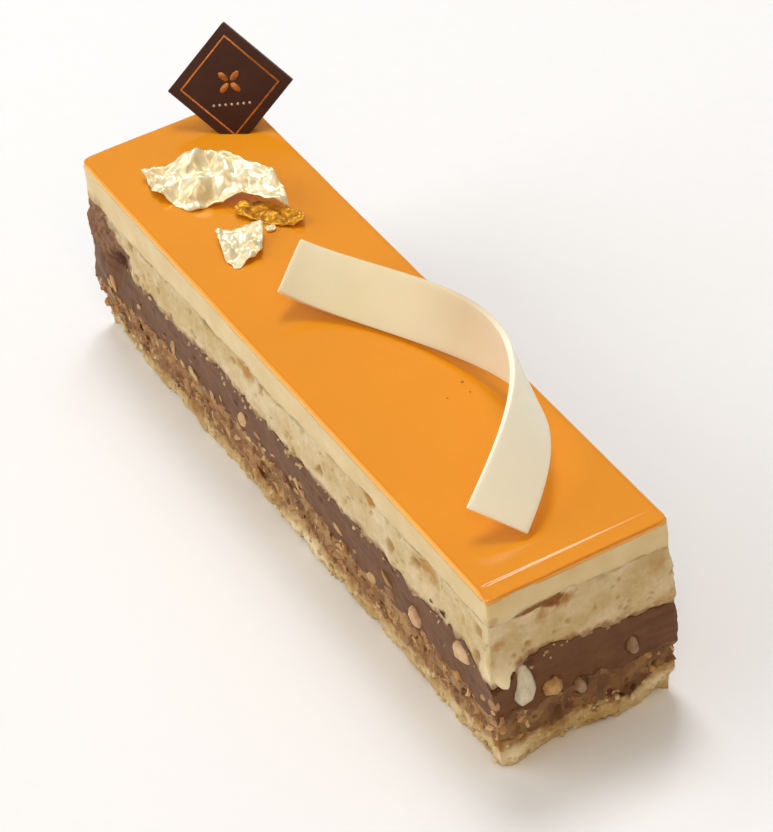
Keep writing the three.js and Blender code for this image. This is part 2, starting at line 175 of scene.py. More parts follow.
cameraData = bpy.data.cameras.new("camera")
cameraData.lens = camera["lens"]
cameraData.sensor_width = camera["sensor"]
cameraObject = addObject("camera", cameraData)
cameraObject.matrix_world = (
    Matrix.Translation(Vector(camera["at"]) * mm)
    @ Matrix.Rotation(math.radians(camera["turn"]), 4, "Z")
    @ Matrix.Rotation(math.radians(90 - camera["down"]), 4, "X")
    @ Matrix.Rotation(math.radians(camera["roll"]), 4, "Z")
)
bpy.context.scene.camera = cameraObject


# studio: white floor, a soft light overhead and a little behind, a large one at the front, a warm one at
# the near end, and a small one behind that glints on the glaze's rim

studio = {
    "floorColor": "#F8FAFE",
    "floorHalf": 3000,  # mm
    "skyColor": "#FFFFFF",
    "warmSkyColor": "#FFE9C8",  # on the side of the near end
    "sky": 0.42,
    "lights": [
        {"name": "overheadLight", "at": (-300, 140, 940), "size": 280, "power": 3.5, "tint": "#FFFFFF"},
        {"name": "frontLight", "at": (-420, -960, 590), "size": 900, "power": 5.8, "tint": "#FFFDF8"},
        {"name": "warmLight", "at": (700, -280, 830), "size": 500, "power": 2.0, "tint": "#FFDCAA"},
        {"name": "rimLight", "at": (-291, 270, 693), "size": 100, "power": 0.3, "tint": "#FFFFFF"},
    ],
}


def makeStudio():
    material, tree, shader, place = startMaterial("matte_white_paper", {"Roughness": 0.9})
    fibre = addNode(tree, "TexNoise", {"Vector": place, "Scale": perMm(3), "Detail": 3})
    tone = addNode(tree, "Mix", {0: fibre.outputs["Fac"], 6: hexColor(studio["floorColor"]),
                                 7: hexColor("#F4F7FB")}, data_type="RGBA")
    tree.links.new(tone.outputs[2], shader.inputs["Base Color"])
    bm = bmesh.new()
    bmesh.ops.create_grid(bm, x_segments=8, y_segments=8, size=studio["floorHalf"] * mm)
    mesh = bpy.data.meshes.new("floor")
    bm.to_mesh(mesh)
    bm.free()
    mesh.materials.append(material)
    addObject("floor", mesh)

    for light in studio["lights"]:
        lamp = bpy.data.lights.new(light["name"], "AREA")
        lamp.size = light["size"] * mm
        lamp.energy = light["power"]
        lamp.color = hexColor(light["tint"])[:3]
        lampObject = addObject(light["name"], lamp)
        lampObject.location = Vector(light["at"]) * mm
        lampObject.rotation_euler = (-lampObject.location).to_track_quat("-Z", "Y").to_euler()

    world = bpy.data.worlds.new("studio")
    world.use_nodes = True
    sky = world.node_tree
    way = addNode(sky, "SeparateXYZ", {"Vector": addNode(sky, "TexCoord").outputs["Generated"]})
    warm = addNode(sky, "MapRange", {"Value": way.outputs["X"], "From Min": 0.1, "From Max": 0.9})
    tone = addNode(sky, "Mix", {0: warm.outputs["Result"], 6: hexColor(studio["skyColor"]),
                                7: hexColor(studio["warmSkyColor"])}, data_type="RGBA")
    background = sky.nodes["Background"]
    sky.links.new(tone.outputs[2], background.inputs["Color"])
    background.inputs["Strength"].default_value = studio["sky"]
    bpy.context.scene.world = world
    bpy.context.scene.view_settings.view_transform = "Standard"


makeStudio()
print("studio ready")


# the bar's cut faces: a prism of fine rows and columns, settled on the solid and then roughened

bar = {
    "halfLength": 61,  # mm
    "halfWidth": 14.25,
    "cornerReach": 2.4,  # columns fan out round a corner from this far inside
    "cornerSteps": 14,
    "heightReach": 1.7,  # seam heights are read this far inside
    "heightSpread": 1.8,  # and this far to each side
    "seamMargin": 0.06,  # the cut face is read at least this far from a seam
    "straight": 0.4,  # readings of one straight face differ by less
}

# where praline cream is smeared, where the crumb is toasted or paler, and where shade is painted darker into
# slits, a cavity and notches, with a few dark spots: middle, reach, strength
marks = {
    "stain": [
        ((61, -7.4, 27.05), (4, 4.6, 0.55), 1.1),
        ((61, -4.5, 26.4), (4, 1.5, 0.95), 1.5),
        ((61, -2.6, 26.0), (4, 2.6, 1.3), 0.45),
        ((61, 7.2, 18.6), (4, 1.1, 1.9), 0.75),
        ((61, -10.3, 19.0), (4, 1.6, 0.9), 0.8),
        ((61, -9.5, 24.5), (4, 1.4, 1.6), 0.35),
        ((-58.5, -14, 19.5), (6.8, 5, 7), 1.6),
        ((-52, -14, 17.6), (4.2, 5, 3.2), 1.5),
        ((-61, -10, 17), (5, 5, 5), 0.9),
    ],
    "toast": [
        ((-9, -14, 24.4), (3.0, 4, 1.5), 1.1),
        ((27.5, -14, 25.4), (2.0, 4, 1.4), 1.1),
        ((43, -14, 24), (3.6, 4, 2.2), 1.0),
        ((54.5, -14, 22.5), (2.2, 4, 1.8), 0.6),
        ((61, 11.6, 24.6), (4, 2.2, 1.9), 0.7),
        ((61, 12.6, 18.0), (4, 1.8, 1.2), 0.8),
        ((61, -13, 23.4), (3.5, 1.6, 1.2), 0.9),
        ((20, -14, 21), (3, 4, 1.2), 0.35),
        ((61, -2.6, 25.6), (4, 2.6, 1.5), 0.9),
        ((61, -6.2, 24.2), (4, 1.2, 1.6), 0.6),
    ],
    # painted shade in slits, a cavity and notches, and a few dark spots
    "dark": [
        ((-52, -14, 17.4), (3.0, 4, 2.4), 1.3),
        ((61, -4.5, 26.2), (4, 1.2, 0.5), 0.75),
        ((61, -4.8, 5.6), (4, 1.9, 1.4), 0.9),
        ((61, 6.2, 4.2), (4, 2.2, 1.7), 1.2),
        ((61, 11.3, 9), (4, 1.4, 1.0), 1.0),
        ((61, 13.2, 7.2), (4, 1.6, 1.5), 0.8),
        ((61, 7.2, 18.6), (4, 0.8, 1.0), 0.45),
        ((26.6, -14, 26.4), (1.3, 4, 0.35), 1.3),
        ((40.6, -14, 26.6), (1.2, 4, 0.35), 1.0),
        ((32.2, -14, 18.2), (0.8, 4, 0.7), 1.3),
        ((47.4, -14, 19.2), (1.0, 4, 0.6), 1.3),
        ((44.5, -14, 19.3), (0.6, 4, 0.5), 1.2),
        ((8.2, -14, 17.4), (0.9, 4, 0.5), 1.2),
        ((-18, -14, 17.6), (1.1, 4, 0.5), 1.1),
    ],
    "pale": [
        ((61.4, -13.2, 17.2), (3.2, 2.4, 3.4), 1.2),
        ((61, -12.2, 2), (3, 3.2, 2.2), 0.9),
        ((6, -14, 2), (6.5, 4, 1.6), 0.9),
        ((61, 12, 3.5), (3, 2.6, 1.6), 0.7),
    ],
}


# how each mark's edge frays: how steep it is, how ragged, and the strength that it begins at
markEdges = {
    "stain": (2.2, 0.5, 0.45),
    "toast": (1.8, 0.4, 0.35),
    "dark": (2.0, 0.4, 0.4),
    "pale": (1.6, 0.3, 0.25),
}


def markAt(kind, p, rag):
    total = 0
    for at, reach, much in marks[kind]:
        far = math.dist([p[i] / reach[i] for i in range(3)], [at[i] / reach[i] for i in range(3)])
        total += much * math.exp(-far ** 2)
    steep, ragged, begins = markEdges[kind]
    return clamp(steep * (total + ragged * rag - begins), 0, 1)


def wave(p, size, seed):
    return noise.noise(p / size + Vector((seed * 3.1, seed * 1.7, seed * 2.3)))


def waves(p, sizes, seed):
    return sum(depth * wave(p, size, seed + i) for i, (size, depth) in enumerate(sizes))


def hollow(p, size, share, seed):
    # how deep a point lies in a round pore, 0 to 1, where a share of the cells of that size has one
    distances, centres = noise.voronoi(p / size + Vector((seed * 1.3, seed * 2.9, seed * 0.7)))
    chance = noise.cell(centres[0] * 7.7) * 0.5 + 0.5
    if chance > share:
        return 0
    radius = 0.3 + 0.35 * chance / share
    return 1 - smoothStep(distances[0], 0.45 * radius, radius)


def barPrism(columnStep, rows, rings=(1.2,)):
    # z runs from 0 at the foot to 1 at the top; both ends carry rings, each further in
    bm = bmesh.new()
    bmesh.ops.create_grid(bm, x_segments=1, y_segments=1, size=1)
    bmesh.ops.scale(bm, vec=(bar["halfLength"], bar["halfWidth"], 1), verts=bm.verts)
    bmesh.ops.bevel(bm, geom=bm.verts[:], offset=bar["cornerReach"], segments=bar["cornerSteps"],
                    profile=0.5, affect="VERTICES", material=-1)
    for edge in [e for e in bm.edges if e.calc_length() > 5]:
        bmesh.ops.subdivide_edges(bm, edges=[edge], cuts=round(edge.calc_length() / columnStep) - 1)
    raised = bmesh.ops.extrude_face_region(bm, geom=bm.faces[:])
    lifted = [g for g in raised["geom"] if isinstance(g, bmesh.types.BMVert)]
    bmesh.ops.translate(bm, vec=(0, 0, 1), verts=lifted)
    uprights = [e for e in bm.edges if abs(e.verts[0].co.z - e.verts[1].co.z) > 0.5]
    bmesh.ops.subdivide_edges(bm, edges=uprights, cuts=rows - 1, use_grid_fill=True)
    for ring in rings:
        caps = [f for f in bm.faces if len(f.verts) > 4]
        bmesh.ops.inset_region(bm, faces=caps, thickness=ring, use_even_offset=True)
    bmesh.ops.recalc_face_normals(bm, faces=bm.faces[:])
    return bm


def columnOf(x, y):
    # the point inside that a column stands out from, its way out and how far it lies inside the outline
    endX = bar["halfLength"] - bar["cornerReach"]
    endY = bar["halfWidth"] - bar["cornerReach"]
    core = Vector((clamp(x, -endX, endX), clamp(y, -endY, endY), 0))
    away = Vector((x, y, 0)) - core
    return core, away.normalized(), bar["cornerReach"] - away.length


def wallDistance(tree, core, way, z, spread):
    # from the core to the solid's cut face, averaged over a spread where the face is straight
    far = bar["cornerReach"] + 6
    across = Vector((-way.y, way.x, 0))
    onSide = max(abs(way.x), abs(way.y)) > 0.999
    steps = (-1, -0.6, -0.3, 0, 0.3, 0.6, 1) if spread and onSide else (0,)
    found = []
    for step in steps:
        start = core + way * far + across * (step * spread) + Vector((0, 0, z))
        hit = tree.ray_cast(start * mm, -way, far * mm)
        if hit[0]:
            found.append(far - hit[3] / mm)
    straight = [f for f in found if f > max(found) - bar["straight"]]  # not those that reach round a corner
    return sum(straight) / len(straight) if straight else bar["cornerReach"]


def seamHeights(tree, core, way):
    # the solid's lower and upper face near a column: the middle of three, which passes over a nut's pocket
    across = Vector((-way.y, way.x, 0))
    inside = core + way * (bar["cornerReach"] - bar["heightReach"])
    lows, highs = [], []
    for side in (-1, 0, 1):
        spot = inside + across * side * bar["heightSpread"]
        low = tree.ray_cast((spot + Vector((0, 0, -5))) * mm, Vector((0, 0, 1)))
        high = tree.ray_cast((spot + Vector((0, 0, 60))) * mm, Vector((0, 0, -1)))
        if low[0] and high[0]:
            lows.append(low[0].z / mm)
            highs.append(high[0].z / mm)
    return sorted(lows)[len(lows) // 2], sorted(highs)[len(highs) // 2]


def seamCrumble(p, seam):
    # the same for the layer above and the layer below
    spot = Vector((p.x, p.y, 0))
    return seam["much"] * (wave(spot, 1.9, seam["seed"]) + 0.6 * wave(spot, 0.8, seam["seed"] + 1))


seams = {
    "ground": {"much": 0, "seed": 1, "overlap": 0},
    "base": {"much": 0.8, "seed": 2, "overlap": 0.3},
    "crunch": {"much": 0.9, "seed": 3, "overlap": 0.3},
    "cream": {"much": 0.65, "seed": 4, "overlap": 0.3},
    "sponge": {"much": 0.22, "seed": 5, "overlap": 0.22},
    "mousse": {"much": 0.05, "seed": 6, "overlap": 0.25},
}


slits = {
    "spans": [(-46, -35), (-24, -16), (-7, 10), (25, 31), (38, 46), (51, 56)],  # mm along the cut long side
    "depth": 0.5,
    "width": 0.42,
}


def slitAt(p, seamAt):
    # mousse and sponge have come apart here and there: 0 closed, 1 open
    beside = 1 - smoothStep(abs(p.z - seamAt + 0.12), 0.1, slits["width"])
    if p.y < 2 - bar["halfWidth"]:
        along = max(smoothStep(p.x, a, a + 2) * (1 - smoothStep(p.x, b - 2, b)) for a, b in slits["spans"])
    else:
        along = smoothStep(wave(p, 9, 91), 0.1, 0.4)
    return beside * along * smoothStep(wave(p, 2.5, 92), -0.45, 0)


pockets = {"wider": 0.3, "depth": 0.3}  # mm round each nut piece, and how far the face stands back there
nutNodes = sorted(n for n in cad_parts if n.startswith(("almond", "hazelnut")))
nutBoxes = [[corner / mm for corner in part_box(n)] for n in nutNodes]


def pocketAt(p):
    deepest = 0
    for low, high in nutBoxes:
        far = [(2 * p[i] - low[i] - high[i]) / (high[i] - low[i] + 2 * pockets["wider"]) for i in range(3)]
        deepest = max(deepest, 1 - smoothStep(Vector(far).length, 0.75, 1.15))
    return deepest


def layerShape(layer):
    low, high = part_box(layer["node"])
    rows = round((high.z - low.z) / mm / (layer["rowStep"] * coarse))
    bm = barPrism(layer["columnStep"] * coarse, rows)
    tree = BVHTree.FromBMesh(nodeCopy(layer["node"]))
    kept = {name: bm.verts.layers.float.new(name) for name in ("painted_pore_shade", *marks)}
    below, above = seams[layer["below"]], seams[layer["above"]]
    heights = {}
    for vert in bm.verts:
        core, way, inward = columnOf(vert.co.x, vert.co.y)
        key = (round(core.x + 0.3 * way.x, 4), round(core.y + 0.3 * way.y, 4))
        if key not in heights:
            foot, top = seamHeights(tree, core, way)
            edge = core + way * bar["cornerReach"]
            heights[key] = (foot, top, seamCrumble(edge, below), seamCrumble(edge, above))
        foot, top, footCrumble, topCrumble = heights[key]
        t = vert.co.z
        readAt = clamp(between(foot, top, t), foot + bar["seamMargin"], top - bar["seamMargin"])
        out = wallDistance(tree, core, way, readAt, layer["spread"])
        z = between(foot - below["overlap"] + footCrumble, top + above["overlap"] + topCrumble, t)
        p = core + way * out + Vector((0, 0, z))
        relief = waves(p, layer["lumps"], layer["seed"])
        if "drag" in layer:
            drag = layer["drag"]
            streak = Vector((p.x / drag["length"], p.y / drag["length"], p.z / drag["gap"]))
            relief += drag["depth"] * wave(streak, 1, layer["seed"] + 9)
        # how deep a point lies in a pore, for the painted shade inside it
        painted_pore_shade = 0
        for i, (size, depth, share) in enumerate(layer["pores"]):
            pit = hollow(p, size, share, layer["seed"] + 20 + i)
            relief -= depth * pit
            painted_pore_shade = max(painted_pore_shade, pit * min(1, depth / 0.4))
        slit = slitAt(p, top + topCrumble) if layer["above"] == "sponge" else 0
        relief -= slits["depth"] * slit + pockets["depth"] * pocketAt(p)
        if layer["below"] == "ground":
            ragged = max(0, wave(p, 1.6, 77) + 0.5 * wave(p, 0.7, 78)) * layer["lift"]
            z = max(z, 0) if t > 0 else 0
            if t < 0.5:
                z += ragged * (0.5 - t) * 2
        vert.co = (core + way * (out + relief - inward)) + Vector((0, 0, max(z, 0)))
        vert[kept["painted_pore_shade"]] = painted_pore_shade
        ragEdge = 0.6 * wave(p, 1.3, 31) + 0.35 * wave(p, 0.5, 32)
        for kind in marks:
            vert[kept[kind]] = markAt(kind, p, ragEdge)
        # painted shade in the open slits between mousse and sponge
        vert[kept["dark"]] = max(vert[kept["dark"]], 0.55 * slit)
        # cream rubbed on the crumb next to a seam
        near = 0
        for seam, away in ((layer["below"], z - foot), (layer["above"], top - z)):
            if seam in layer["rubbed"]:
                near = max(near, 1 - away / layer["rubbed"][seam])
        if near > 0:
            vert[kept["stain"]] = max(vert[kept["stain"]], clamp(near + 1.1 * ragEdge, 0, 1) * 0.75)
    bmesh.ops.scale(bm, vec=(mm, mm, mm), verts=bm.verts)
    return bm


# materials of the layers

def spongeMaterial(name, crumbPale, crumbDeep, paintedPoreShade, smearDeep, smearPale):
    # sponge cake, baked and cut: a dry open crumb, pale on the walls of its cells, with painted shade inside
    # its pores
    material, tree, shader, place = startMaterial(name, {
        "Roughness": 0.9, "Subsurface Weight": 0.25, "Subsurface Scale": 0.8 * mm,
        "Subsurface Radius": (1, 0.8, 0.45), "Specular IOR Level": 0.25,
    })
    tone = clouded(tree, place, 6, [(0.35, crumbDeep), (0.62, crumbPale)], Detail=4, Roughness=0.6)
    speckle = clouded(tree, place, 0.9, [(0.3, 0.8), (0.6, 1.0)], Detail=5, Roughness=0.65)
    mottled = addNode(tree, "Mix", {0: 0.6, 6: tone, 7: speckle}, data_type="RGBA", blend_type="MULTIPLY")
    # smeared cream: grey-brown, and a warmer brown towards the near end
    smear = clouded(tree, place, 0.9, [(0.35, smearDeep), (0.65, smearPale)], Detail=5, Roughness=0.65)
    nearEnd = alongBar(tree, place, 50, 58, 0.8)
    warmSmear = addNode(tree, "Mix", {0: nearEnd, 6: smear, 7: hexColor("#8E5A28")}, data_type="RGBA")
    # painted shade inside the pores
    color = markedOver(tree, "painted_pore_shade", mottled.outputs[2], hexColor(paintedPoreShade))
    color = markedOver(tree, "pale", color, hexColor("#F4E2BC"))
    color = markedOver(tree, "toast", color, hexColor("#B8894A"))
    color = markedOver(tree, "stain", color, warmSmear.outputs[2])
    # painted shade and dark spots
    color = markedOver(tree, "dark", color, hexColor("#4A2A18"))
    finishMaterial(tree, shader, place, color, (0.35, 0.6, 0.12), Detail=4, Roughness=0.7)
    return material


def creamMaterial():
    # praline cream: milk chocolate and nut paste, set and cut with a warm knife, so satin with drag lines
    material, tree, shader, place = startMaterial("milk_chocolate_praline_cream", {
        "Roughness": 0.48, "Subsurface Weight": 0.1, "Subsurface Scale": 0.5 * mm,
        "Subsurface Radius": (1, 0.5, 0.3), "Specular IOR Level": 0.24,
    })
    stretched = addNode(tree, "Mapping", {"Vector": place, "Scale": (1, 1, 7)})
    drag = addNode(tree, "TexNoise", {"Vector": stretched.outputs["Vector"], "Scale": perMm(7), "Detail": 4})
    tone = clouded(tree, place, 3.5, [(0.3, "#623C1D"), (0.7, "#774D29")], Detail=5, Roughness=0.6)
    streaks = addNode(tree, "ValToRGB", {"Fac": drag.outputs["Fac"]}, stops=[(0.35, 0.85), (0.65, 1.0)])
    mixed = addNode(tree, "Mix", {0: 0.7, 6: tone, 7: streaks.outputs["Color"]},
                    data_type="RGBA", blend_type="MULTIPLY")
    # painted shade inside the cream's pores
    color = markedOver(tree, "painted_pore_shade", mixed.outputs[2], hexColor("#442711"))
    lines = addNode(tree, "Bump", {"Strength": 0.35, "Distance": 0.1 * mm, "Height": drag.outputs["Fac"]})
    finishMaterial(tree, shader, place, color, (0.5, 0.4, 0.06), lines, Detail=4, Roughness=0.7)
    return material


def crunchMaterial():
    # praline crunch: crushed wafer and nuts bound in nut paste, greasy and very uneven in tone
    material, tree, shader, place = startMaterial("praline_crunch_paste", {
        "Roughness": 0.6, "Subsurface Weight": 0.1, "Subsurface Scale": 0.5 * mm,
        "Subsurface Radius": (1, 0.6, 0.3), "Specular IOR Level": 0.4,
    })
    warp = addNode(tree, "TexNoise", {"Vector": place, "Scale": perMm(1.3), "Detail": 3})
    ragged = addNode(tree, "VectorMath", {0: warp.outputs["Color"], 1: [2.2 * mm] * 3, 2: place},
                     operation="MULTIPLY_ADD")
    cells = addNode(tree, "TexVoronoi", {"Vector": ragged.outputs["Vector"], "Scale": perMm(1.7)})
    grey = addNode(tree, "RGBToBW", {"Color": cells.outputs["Color"]})
    bits = addNode(tree, "ValToRGB", {"Fac": grey.outputs["Val"]},
                   stops=[(0.25, "#6E4424"), (0.45, "#8A5F33"), (0.62, "#A97E4B"), (0.8, "#C8A66F")])
    tone = clouded(tree, place, 4, [(0.3, "#764D2A"), (0.7, "#AD814D")], Detail=5, Roughness=0.65)
    mixed = addNode(tree, "Mix", {0: 0.4, 6: tone, 7: bits.outputs["Color"]}, data_type="RGBA")
    # painted shade: the near end's face is darker
    nearEnd = alongBar(tree, place, 59, 60.3)
    paintedEndShade = addNode(tree, "Mix", {0: nearEnd, 6: mixed.outputs[2], 7: hexColor("#DAD5C8")},
                    data_type="RGBA", blend_type="MULTIPLY")
    # painted shade inside the crunch's pores
    color = markedOver(tree, "painted_pore_shade", paintedEndShade.outputs[2], hexColor("#5E3416"))
    # painted shade and dark spots in the crunch
    color = markedOver(tree, "dark", color, hexColor("#6C4014"))
    finishMaterial(tree, shader, place, color, (0.5, 0.6, 0.12), Detail=5, Roughness=0.7)
    return material


def mousseMaterial():
    # vanilla mousse: set with gelatine and cut cold, so smooth and softly translucent with a few pinholes
    material, tree, shader, place = startMaterial("vanilla_mousse", {
        "Roughness": 0.55, "Subsurface Weight": 0.5, "Subsurface Scale": 1.5 * mm,
        "Subsurface Radius": (1, 0.8, 0.5), "Specular IOR Level": 0.35,
    })
    tone = clouded(tree, place, 5, [(0.3, "#D9BF8A"), (0.7, "#E5CFA0")], Detail=4, Roughness=0.55)
    # painted shade inside the pinholes
    color = markedOver(tree, "painted_pore_shade", tone, hexColor("#BFA06A"))
    color = markedOver(tree, "stain", color, hexColor("#B58F5C"))
    finishMaterial(tree, shader, place, color, (0.8, 0.3, 0.05), Detail=4, Roughness=0.6)
    return material


# layers: sizes in mm; lumps are (size, depth), pores are (cell size, depth, share of the cells)

layers = [
    {
        "name": "base_sponge_crumb", "node": "base_sponge", "slot": "sponge",
        "below": "ground", "above": "base", "columnStep": 0.26, "rowStep": 0.2, "spread": 0, "lift": 1.0,
        "lumps": [(2.8, 0.34), (1.2, 0.24), (0.5, 0.1)], "pores": [(1.7, 0.4, 0.2), (0.8, 0.25, 0.25)],
        "rubbed": {"base": 2.0}, "seed": 11,
        "material": spongeMaterial(
            "baked_sponge_base", "#DDC594", "#BC985E", "#94703E", "#7C4C26", "#A87240"),
    },
    {
        "name": "praline_crunch_mass", "node": "praline_crunch", "slot": "praline_crunch",
        "below": "base", "above": "crunch", "columnStep": 0.26, "rowStep": 0.2, "spread": 0,
        "lumps": [(3.0, 0.4), (1.4, 0.3), (0.6, 0.12)], "pores": [(2.2, 0.5, 0.2), (1.0, 0.3, 0.2)],
        "rubbed": {}, "seed": 12, "material": crunchMaterial(),
    },
    {
        "name": "praline_cream_band", "node": "praline_cream", "slot": "praline_cream",
        "below": "crunch", "above": "cream", "columnStep": 0.28, "rowStep": 0.24, "spread": 0.8,
        "lumps": [(4.5, 0.18), (1.6, 0.09)], "pores": [(1.6, 0.25, 0.05)],
        "drag": {"length": 9, "gap": 0.9, "depth": 0.1},
        "rubbed": {}, "seed": 13, "material": creamMaterial(),
    },
    {
        "name": "upper_sponge_crumb", "node": "upper_sponge", "slot": "sponge",
        "below": "cream", "above": "sponge", "columnStep": 0.24, "rowStep": 0.22, "spread": 0,
        "lumps": [(3.4, 0.34), (1.5, 0.22), (0.6, 0.1)], "pores": [(2.2, 0.42, 0.14), (1.0, 0.22, 0.2)],
        "rubbed": {"cream": 1.0}, "seed": 14,
        "material": spongeMaterial(
            "baked_sponge", "#E1CDA6", "#CBB27E", "#AE8F5A", "#6A4630", "#9A7458"),
    },
    {
        "name": "vanilla_mousse_band", "node": "vanilla_mousse", "slot": "mousse",
        "below": "sponge", "above": "mousse", "columnStep": 0.35, "rowStep": 0.3, "spread": 1.6,
        "lumps": [(7, 0.1), (2.2, 0.04)], "pores": [(3.6, 0.25, 0.1)],
        "rubbed": {}, "seed": 15, "material": mousseMaterial(),
    },
]

layerTrees = {}  # the finished cut faces, for the loose bits that lie on them
for layer in layers:
    shape = layerShape(layer)
    layerTrees[layer["node"]] = BVHTree.FromBMesh(shape)
    addPiece(layer["name"], shape, layer["material"], [layer["node"]])
print("layers done")


# caramel glaze: poured over the mousse, so its rim is rounded and it runs off a little at the near end

glaze = {
    "foot": 31.02,  # mm
    "top": 32.0,
    "columnStep": 0.5,
    "rim": 0.4,  # radius of its rounded edge
    "rings": [0.02, 0.06, 0.1, 0.14, 0.18] + [0.3] * 5 + [0.25],  # each further in from the one before
    "cuts": [2.45, 2.55, 2.65, 2.75, 2.85, 2.95, 3.05],  # across the top, this far from the near end
    # near that end it steps down, where a second pour ended
    "runOff": {
        "from": 3.1, "to": 2.4, "drop": 0.1,
        "start": -14, "fadeFrom": -5, "fadeTo": 2, "faded": 0.2,
    },
    "cornerReach": 2.4,  # its upright corners are rounded, and reach out at least this far
    "footWave": 0.09,
}


def glazeMaterial():
    # caramel mirror glaze: gelatine and glucose with caramel, a clear wet gloss over an even orange;
    # its rim is painted with a bright yellow highlight line and a darker orange band of painted shade inside
    # it
    material, tree, shader, place = startMaterial("caramel_mirror_glaze", {
        "Roughness": 0.16, "Subsurface Weight": 0.3, "Subsurface Scale": 1.2 * mm,
        "Subsurface Radius": (1, 0.4, 0.1), "IOR": 1.4, "Coat Weight": 0.22, "Coat Roughness": 0.05,
    })
    inward = addNode(tree, "Attribute", attribute_name="inward")
    # painted highlight at the rim's edge, then a band of painted shade, then the body's orange
    rim = addNode(tree, "ValToRGB", {"Fac": inward.outputs["Fac"]}, stops=[
        (0.06, "#F9B242"), (0.16, "#F5A935"), (0.25, "#E38E14"), (0.5, "#EC981B")])
    body = clouded(tree, place, 22, [(0.35, 0.95), (0.65, 1.0)], Detail=2)
    tone = addNode(tree, "Mix", {0: 1, 6: rim.outputs["Color"], 7: body},
                   data_type="RGBA", blend_type="MULTIPLY")
    finishMaterial(tree, shader, place, tone.outputs[2], (14, 0.25, 0.08), Detail=2)
    return material


def runOffAt(place):
    bend = glaze["runOff"]
    inside = bar["halfLength"] - place.x
    drop = bend["drop"] * (1 - smoothStep(inside, bend["to"], bend["from"]))
    begun = smoothStep(place.y, bend["start"], bend["start"] + 1.2) * (1 + 0.7 * wave(place, 1.4, 43))
    return drop * begun * between(1, bend["faded"], smoothStep(place.y, bend["fadeFrom"], bend["fadeTo"]))


def glazeShape():
    bm = barPrism(glaze["columnStep"], 2, glaze["rings"])
    for inside in glaze["cuts"]:
        bmesh.ops.bisect_plane(bm, geom=bm.verts[:] + bm.edges[:] + bm.faces[:], dist=0.0001,
                               plane_co=(bar["halfLength"] - inside, 0, 0), plane_no=(1, 0, 0))
    paintedRimGlow = bm.verts.layers.float.new("inward")
    tree = BVHTree.FromBMesh(nodeCopy("caramel_glaze"))
    middle = (glaze["foot"] + glaze["top"]) / 2
    for vert in bm.verts:
        core, way, inward = columnOf(vert.co.x, vert.co.y)
        squareness = (way.x ** 4 + way.y ** 4) ** 0.25
        out = max(wallDistance(tree, core, way, middle, 1.6), glaze["cornerReach"] / squareness)
        place = core + way * max(out - inward, 0)
        toRim = clamp(1 - inward / glaze["rim"], 0, 1)
        rounded = glaze["rim"] * (1 - math.sqrt(1 - toRim ** 2)) * (1 - abs(way.x))  # cut sharp at the ends
        top = glaze["top"] - rounded - runOffAt(place)
        foot = glaze["foot"] + glaze["footWave"] * wave(place, 5, 41)
        # how far in each point lies, for the rim's painted highlight and painted darker band: fully on the
        # long sides, less at the ends
        vert[paintedRimGlow] = clamp((inward + 0.35 * abs(way.x)) / 1.5, 0, 1) if vert.co.z > 0.3 else 0
        vert.co = place + Vector((0, 0, between(foot, top, vert.co.z)))
    bmesh.ops.scale(bm, vec=(mm, mm, mm), verts=bm.verts)
    return bm


addPiece("caramel_glaze_sheet", glazeShape(), glazeMaterial(), ["caramel_glaze"])


# white chocolate curl: a ribbon scraped from a set sheet

curl = {"softEdge": 0.13, "softSteps": 2, "smoothing": 2, "sharp": 50}


def whiteChocolateMaterial():
    # white chocolate: cocoa butter and milk, scraped to a curl; satin, faintly streaked along the scrape
    material, tree, shader, place = startMaterial("white_chocolate", {
        "Roughness": 0.42, "Subsurface Weight": 0.15, "Subsurface Scale": 0.5 * mm,
        "Subsurface Radius": (1, 0.85, 0.6), "Specular IOR Level": 0.4,
    })
    mottle = clouded(tree, place, 9, [(0.3, 0.96), (0.7, 1.0)], Detail=3)
    # painted light and shade along the ribbon: palest at both ends, darker in between
    tone = addNode(tree, "ValToRGB", {"Fac": alongBar(tree, place, -20, 40)}, stops=[
        (0, "#F4E9CE"), (0.3, "#E4D6AE"), (0.6, "#E4D4B0"), (0.85, "#FFFAE4")])
    mixed = addNode(tree, "Mix", {0: 1, 6: tone.outputs["Color"], 7: mottle},
                    data_type="RGBA", blend_type="MULTIPLY")
    scrape = addNode(tree, "Mapping", {"Vector": place, "Scale": (0.25, 1, 1), "Rotation": (0, 0, 0.4)})
    finishMaterial(tree, shader, scrape.outputs["Vector"], mixed.outputs[2], (1.2, 0.12, 0.1), Detail=3)
    return material


def quadsFromTriangles(bm):
    # a diagonal is the longest edge of both its triangles
    diagonals = [e for e in bm.edges if len(e.link_faces) == 2 and all(
        len(f.edges) == 3 and max(f.edges, key=lambda k: k.calc_length()) == e for f in e.link_faces)]
    bmesh.ops.dissolve_edges(bm, edges=diagonals, use_verts=False)


def curlPiece():
    bm = nodeCopy("white_chocolate_curl")
    quadsFromTriangles(bm)
    crease = bm.edges.layers.float.new("crease_edge")
    for edge in bm.edges:
        if edge.calc_face_angle(0) > math.radians(curl["sharp"]):
            edge[crease] = 1
    piece = addPiece("white_chocolate_ribbon", bm, whiteChocolateMaterial(),
                     ["white_chocolate_curl"])
    smooth = piece.modifiers.new("smooth", "SUBSURF")
    smooth.levels = smooth.render_levels = curl["smoothing"]
    soft = piece.modifiers.new("soft", "BEVEL")
    soft.limit_method = "ANGLE"
    soft.angle_limit = math.radians(curl["sharp"])
    soft.width = curl["softEdge"] * mm
    soft.segments = curl["softSteps"]


curlPiece()
print("glaze and curl done")


# gold leaf: crumpled by hand, its creases sharp and its torn rim uneven

